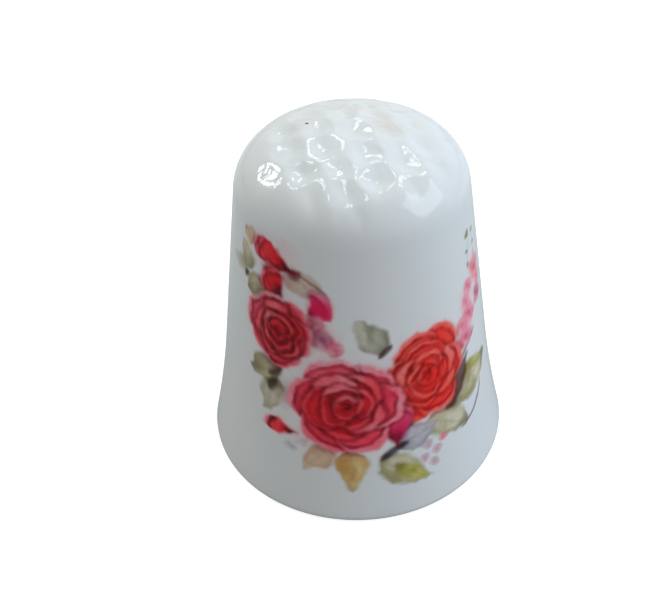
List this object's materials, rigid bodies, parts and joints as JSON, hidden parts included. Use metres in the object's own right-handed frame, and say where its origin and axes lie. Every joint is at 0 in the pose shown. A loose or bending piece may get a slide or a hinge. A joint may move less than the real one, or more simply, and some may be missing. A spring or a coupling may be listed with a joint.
{
  "type": "thimble",
  "caption": "Flared glazed china thimble with a dimpled domed crown, an open foot and a printed rose garland on its wall.",
  "frame": {"origin": "centre of the open foot, on the plane that the thimble stands on", "axes": "+Z from the foot up through the crown; the garland faces -Y and +X is to its right as seen from the front"},
  "size_m": [0.024, 0.024, 0.0277],
  "materials": {
    "bisque_china": "matt unglazed bone china, bare only on the foot ring",
    "white_glaze": "glossy white glaze over bone china",
    "enamel_rose": "glossy fired enamel, crimson shading to pale pink",
    "enamel_coral": "glossy fired enamel, coral shading to pale pink",
    "enamel_crimson": "glossy fired enamel, crimson",
    "enamel_tan": "glossy fired enamel, tan",
    "enamel_pink": "glossy fired enamel, soft pink",
    "enamel_mauve": "glossy fired enamel, pale mauve",
    "enamel_brown": "glossy fired enamel, rosy brown",
    "enamel_olive": "glossy fired enamel, olive green",
    "enamel_grey_green": "glossy fired enamel, grey green",
    "enamel_ochre": "glossy fired enamel, ochre",
    "enamel_magenta": "glossy fired enamel, magenta",
    "enamel_blue_grey": "glossy fired enamel, blue grey",
    "enamel_green": "glossy fired enamel, leaf green",
    "enamel_dark": "glossy fired enamel, near black green"
  },
  "bodies": {
    "root": {"china_body": "bisque_china", "outer_glaze": "white_glaze", "inner_glaze": "white_glaze", "rose_centre": "enamel_rose", "rose_right": "enamel_coral", "rose_left": "enamel_crimson", "red_bud": "enamel_crimson", "bud_tip": "enamel_tan", "pink_bud": "enamel_pink", "loose_petal_pink": "enamel_pink", "mauve_sprig": "enamel_mauve", "leaf_brown": "enamel_brown", "leaves_left_upper": "enamel_olive", "leaves_left_lower": "enamel_olive", "leaf_top_centre": "enamel_grey_green", "fallen_petal_red": "enamel_crimson", "leaf_ochre": "enamel_ochre", "leaf_pale_ochre": "enamel_ochre", "faint_sprig": "enamel_mauve", "petal_magenta": "enamel_magenta", "leaf_blue_grey": "enamel_blue_grey", "leaf_pale_green": "enamel_olive", "leaf_green_mid": "enamel_green", "leaf_green_large": "enamel_green", "leaf_shadow": "enamel_dark", "stems": "enamel_dark", "blossom_sprig_low": "enamel_mauve", "blossom_spray_right": "enamel_pink", "tip_buds_right": "enamel_olive"}
  },
  "joints": []
}
